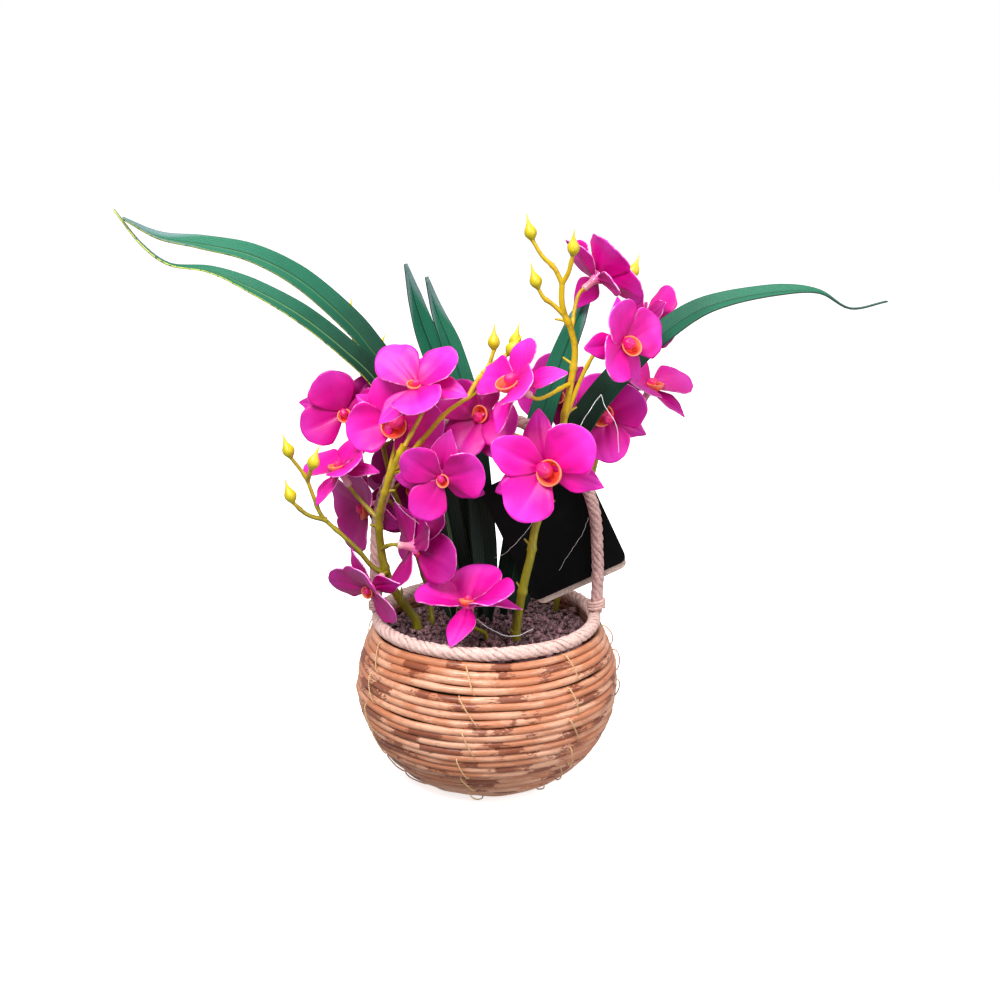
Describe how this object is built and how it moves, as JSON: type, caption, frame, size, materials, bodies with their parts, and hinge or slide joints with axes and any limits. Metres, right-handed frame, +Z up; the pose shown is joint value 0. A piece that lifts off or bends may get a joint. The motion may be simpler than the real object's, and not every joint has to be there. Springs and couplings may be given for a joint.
{
  "type": "potted orchid",
  "caption": "Artificial orchid spray with strap leaves, set in soil-look granules in a round rattan basket with a rope handle.",
  "frame": {"origin": "centre of the underside of the basket, on the surface it stands on", "axes": "+Z up; the front of the basket faces -Y; +X to the right, along the handle's span"},
  "size_m": [0.3876, 0.1406, 0.3055],
  "materials": {
    "rattan": "satin split rattan with darker patches",
    "paper_cord": "matt twisted paper cord",
    "yarn": "matt thin lashing yarn",
    "foam": "matt hard foam",
    "soil": "glued granules with a slight gloss",
    "stem": "satin moulded plastic",
    "leaf": "coated leaf cloth with a soft sheen",
    "petal": "soft satin moulded petals",
    "card": "smooth black coated card",
    "card_backing": "plain pale card"
  },
  "bodies": {
    "root": {"base_disc": "rattan", "strand_band_1": "rattan", "strand_band_2": "rattan", "strand_band_3": "rattan", "strand_band_4": "rattan", "strand_band_5": "rattan", "strand_band_6": "rattan", "stitch_1": "yarn", "stitch_2": "yarn", "stitch_3": "yarn", "stitch_4": "yarn", "stitch_5": "yarn", "stitch_6": "yarn", "stitch_7": "yarn", "rim_cord": "paper_cord", "handle_cord": "paper_cord", "handle_binding_left": "paper_cord", "handle_binding_right": "paper_cord", "foam_block": "foam", "soil_layer": "soil", "stem_left": "stem", "stem_left_back": "stem", "stem_right": "stem", "stem_right_back": "stem", "stem_front": "stem", "leaf_left_upper": "leaf", "leaf_left_lower": "leaf", "leaf_back_left": "leaf", "leaf_back_middle": "leaf", "leaf_right": "leaf", "leaf_right_back": "leaf", "flower_right_front": "petal", "flower_centre_top": "petal", "flower_right_upper": "petal", "flower_right_top": "petal", "flower_right_back_top": "petal", "flower_right_back": "petal", "flower_right_low": "petal", "flower_right_behind": "petal", "flower_left_top": "petal", "flower_left_front": "petal", "flower_left_outer": "petal", "flower_left_side": "petal", "flower_middle_low": "petal", "flower_middle_top": "petal", "flower_middle_back": "petal", "flower_low_left": "petal", "flower_low_middle": "petal", "flower_low_back": "petal", "flower_rim_left": "petal", "flower_front": "petal", "card_front": "card", "card_back": "card_backing"}
  },
  "joints": []
}
